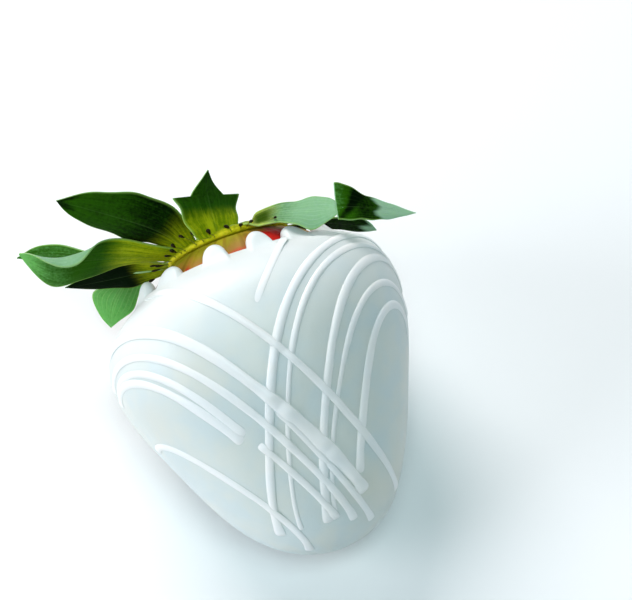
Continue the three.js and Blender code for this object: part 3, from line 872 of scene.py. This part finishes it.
def leaf_material(name, tones, root, vein, roughness, vein_share):
    """One side of a sepal. uv runs across the sepal and from its root to its tip."""
    sh = Shader(name, Roughness=roughness, IOR=1.4, Subsurface_Weight=0.2, Subsurface_Scale=0.0005)
    sh.surface.inputs["Specular IOR Level"].default_value = 0.02
    sh.surface.inputs["Subsurface Radius"].default_value = (0.5, 1.0, 0.12)
    uv = sh.node("ShaderNodeSeparateXYZ", {0: sh.node("ShaderNodeUVMap").outputs[0]})
    across, at = uv.outputs[0], uv.outputs[1]
    # Streaks that run along the sepal, and a fine mottle.
    lengthwise = sh.node("ShaderNodeCombineXYZ", {
        0: sh.math("MULTIPLY", across, 22.0), 1: sh.math("MULTIPLY", at, 3.2), 2: sh.attribute("seed")})
    streak = sh.node("ShaderNodeTexNoise", {
        "Vector": lengthwise.outputs[0], "Scale": 1.0, "Detail": 3.0, "Roughness": 0.6}).outputs["Fac"]
    mottle = sh.noise(2400, 4, 0.65)
    streaky = sh.math("MULTIPLY", sh.math("SUBTRACT", streak, 0.5), 0.34)
    mottled = sh.math("MULTIPLY", sh.math("SUBTRACT", mottle, 0.5), 0.45)
    tone = sh.math("ADD", sh.math("ADD", sh.attribute("tone"), streaky), mottled)
    deep, mid, light = tones
    body = sh.mix(sh.spread(tone, 0.0, 0.5), deep, mid)
    body = sh.mix(sh.spread(tone, 0.5, 1.0), body, light)
    # Towards the root, the yellow-green of the crown: partly its own colour and partly painted light, the
    # glow of light through the thin root.
    yellow = sh.math("ADD", sh.attribute("yellow"), sh.math("MULTIPLY", streaky, 0.6))
    root = sh.mix(sh.spread(sh.math("ADD", streak, mottled), 0.3, 0.7), *root)
    body = sh.mix(sh.spread(yellow, 0.25, 0.8), body, root)
    # The midrib and the finer veins beside it.
    off = sh.math("ABSOLUTE", sh.math("SUBTRACT", across, 0.5))
    ribs = sh.math("PINGPONG", sh.math("MULTIPLY", across, 9.0), 0.5)
    fine = sh.math("MULTIPLY", sh.spread(ribs, 0.0, 0.16, 1, 0), sh.spread(at, 0.75, 1.0, 1, 0))
    fine = sh.math("MULTIPLY", fine, sh.attribute("veined"))
    clear = sh.spread(sh.attribute("veined"), 0, 1, 0.12, 1)
    midrib = sh.math("MULTIPLY", sh.spread(off, 0.0, 0.02, 1, 0), clear)
    veins = sh.math("MAXIMUM", midrib, fine)
    body = sh.mix(sh.math("MULTIPLY", veins, vein_share), body, vein)
    # Its margins are lighter, and then come the dark hump at one root and the pale tips.
    body = sh.mix(sh.spread(off, 0.455, 0.5, 0.0, 0.45), body, srgb(150, 190, 90))
    body = sh.mix(sh.attribute("hump"), body, srgb(50, 76, 10))
    body = sh.mix(sh.attribute("pale"), body, srgb(152, 192, 158))
    sh.into("Base Color", body)
    sh.bump(sh.math("ADD", mottle, sh.math("MULTIPLY", fine, -0.6)), 0.3, 0.0003)
    return sh.material


def hub_material():
    sh = Shader("crown_green", Roughness=0.55, IOR=1.4, Subsurface_Weight=0.25, Subsurface_Scale=0.0006)
    sh.surface.inputs["Specular IOR Level"].default_value = 0.08
    sh.surface.inputs["Subsurface Radius"].default_value = (0.8, 1.0, 0.15)
    height = sh.core_height()
    patches = sh.spread(sh.noise(700, 4, 0.7), 0.35, 0.65)
    # From the yellow rim, which faces the fruit, over the dome to the stalk's cut end. The
    # rim is painted lighter than its own yellow, as painted light on its shaded side, and the
    # shoulder above it is painted darker, as painted shade, since its top edge catches the light.
    rim = sh.mix(patches, srgb(194, 194, 22), srgb(226, 216, 44))
    shoulder_painted_shade = sh.mix(patches, srgb(104, 120, 4), srgb(168, 174, 18))
    colour = sh.mix(sh.spread(height, 20.95, 21.3), rim, shoulder_painted_shade)
    colour = sh.mix(sh.spread(height, 21.5, 22.4), colour, srgb(112, 160, 76))
    colour = sh.mix(sh.spread(height, 25.9, 26.5), colour, srgb(182, 176, 120))
    sh.into("Base Color", colour)
    sh.bump(sh.noise(1100, 3), 0.3, 0.0003)
    return sh.material


def stamen_material(name, colour, other, roughness):
    sh = Shader(name, Roughness=roughness, IOR=1.4)
    sh.surface.inputs["Specular IOR Level"].default_value = 0.25
    sh.into("Base Color", sh.mix(sh.noise(2600, 3), colour, other))
    sh.bump(sh.noise(4000, 3), 0.5, 0.0002)
    return sh.material


def floor_material():
    sh = Shader("floor_paint", Roughness=0.6)
    colour = srgb(246, 248, 249)
    darker = tuple(c * 0.985 for c in colour[:3]) + (1,)
    sh.into("Base Color", sh.mix(sh.noise(30, 2), colour, darker))
    return sh.material


# ---- Stage ----------------------------------------------------------------------------

VIEW_AZIMUTH, VIEW_ELEVATION = math.radians(-21), math.radians(58)
PHOTO_SIZE = (632, 600)
LENS, SENSOR = 120.0, 36.0
SCALE = 0.135  # millimetres a pixel at the fruit's origin
CORE_PIXEL = (276, 390)  # where the photo shows the fruit's origin

FLOOR_HALF = 3.0  # metres, as are the lights' places
LIGHT_SIZE = 0.5
LIGHT_AIM = (0, 0.004, 0.018)
# Place, watts and colour.
LIGHTS = {
    "left": ((-0.75, 0.05, 0.30), 4.2, (0.95, 0.95, 1.0)),
    "back": ((-0.1, 0.6, 0.55), 5.5, (1.0, 0.92, 0.92)),
    "right": ((0.55, 0.3, 0.5), 0.6, (0.78, 0.94, 1.0)),
    "top": ((0.0, -0.3, 0.78), 3.3, (0.77, 0.97, 1.0)),
}
SKY_COLOUR, SKY_STRENGTH = (0.85, 0.97, 1.0, 1), 0.03


def make_camera():
    back = Vector((
        math.sin(VIEW_AZIMUTH) * math.cos(VIEW_ELEVATION),
        -math.cos(VIEW_AZIMUTH) * math.cos(VIEW_ELEVATION),
        math.sin(VIEW_ELEVATION)))
    right = Vector((math.cos(VIEW_AZIMUTH), math.sin(VIEW_AZIMUTH), 0))
    up = back.cross(right)
    focal = LENS / SENSOR * PHOTO_SIZE[0]
    distance = SCALE * focal
    aside = (CORE_PIXEL[0] - PHOTO_SIZE[0] / 2) * SCALE
    above = (PHOTO_SIZE[1] / 2 - CORE_PIXEL[1]) * SCALE
    place = (Vector(CORE) + back * distance - right * aside - up * above) / 1000
    data = bpy.data.cameras.new("camera")
    data.lens = LENS
    data.sensor_width = SENSOR
    data.sensor_fit = "HORIZONTAL"
    data.clip_start = 0.01
    data.clip_end = 20
    camera = bpy.data.objects.new("camera", data)
    camera.matrix_world = Matrix((
        (right.x, up.x, back.x, place.x), (right.y, up.y, back.y, place.y),
        (right.z, up.z, back.z, place.z), (0, 0, 0, 1)))
    bpy.context.collection.objects.link(camera)
    bpy.context.scene.camera = camera


def make_floor():
    corners = [(x * FLOOR_HALF, y * FLOOR_HALF, 0) for x, y in ((-1, -1), (1, -1), (1, 1), (-1, 1))]
    mesh = bpy.data.meshes.new("floor")
    mesh.from_pydata(corners, [], [(0, 1, 2, 3)])
    mesh.materials.append(floor_material())
    floor = bpy.data.objects.new("floor", mesh)
    bpy.context.collection.objects.link(floor)


def make_light(name, place, power, colour):
    data = bpy.data.lights.new(name, "AREA")
    data.shape = "DISK"
    data.size = LIGHT_SIZE
    data.energy = power
    data.color = colour
    light = bpy.data.objects.new(name, data)
    light.location = place
    aim = Vector(LIGHT_AIM) - Vector(place)
    light.rotation_euler = aim.to_track_quat("-Z", "Y").to_euler()
    bpy.context.collection.objects.link(light)


def make_lights():
    for name, (place, power, colour) in LIGHTS.items():
        make_light(name, place, power, colour)
    world = bpy.data.worlds.new("studio")
    world.use_nodes = True
    sky = world.node_tree.nodes["Background"]
    sky.inputs["Color"].default_value = SKY_COLOUR
    sky.inputs["Strength"].default_value = SKY_STRENGTH
    bpy.context.scene.world = world


# ---- The scene ------------------------------------------------------------------------

make_camera()
make_floor()
make_lights()
bpy.context.scene.view_settings.view_transform = "Standard"

make_coat(shell_material())
make_drizzle(drizzle_material())
make_berry(flesh_material())
dark_side = leaf_material(
    "leaf_waxy_side", (srgb(2, 18, 1), srgb(42, 92, 6), srgb(110, 180, 94)),
    (srgb(112, 140, 4), srgb(172, 184, 20)), srgb(150, 200, 116), 0.55, 0.5)
pale_side = leaf_material(
    "leaf_downy_side", (srgb(84, 130, 78), srgb(122, 168, 126), srgb(154, 190, 158)),
    (srgb(128, 152, 50), srgb(176, 192, 86)), srgb(180, 212, 182), 0.65, 0.45)
for k, sepal in enumerate(SEPALS):
    make_sepal(k, sepal, dark_side, pale_side)
make_hub(hub_material())
make_stamens(
    stamen_material("stamen_thread", srgb(150, 158, 50), srgb(96, 104, 24), 0.6),
    stamen_material("stamen_head", srgb(14, 18, 4), srgb(48, 40, 12), 0.6))
